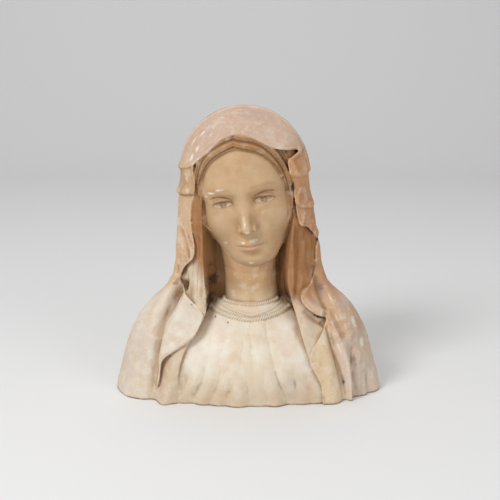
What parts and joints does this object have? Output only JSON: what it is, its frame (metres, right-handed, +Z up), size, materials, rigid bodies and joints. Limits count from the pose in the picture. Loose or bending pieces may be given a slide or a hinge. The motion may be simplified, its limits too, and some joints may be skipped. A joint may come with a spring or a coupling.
{
  "type": "cast bust of a veiled woman",
  "caption": "Devotional bust of a veiled woman with bowed, tilted head over a gathered bodice, cast hollow in one piece, painted and worn, cut flat below.",
  "frame": {"origin": "middle of the bounding box at the flat underside that the bust rests on", "axes": "+Z up to the crown of the veil, -Y out of the face, +X to the right of someone who faces the bust"},
  "size_m": [0.3007, 0.1653, 0.32],
  "materials": {
    "plaster": "matte, worn paint"
  },
  "bodies": {
    "root": {"bust": "plaster"}
  },
  "joints": []
}
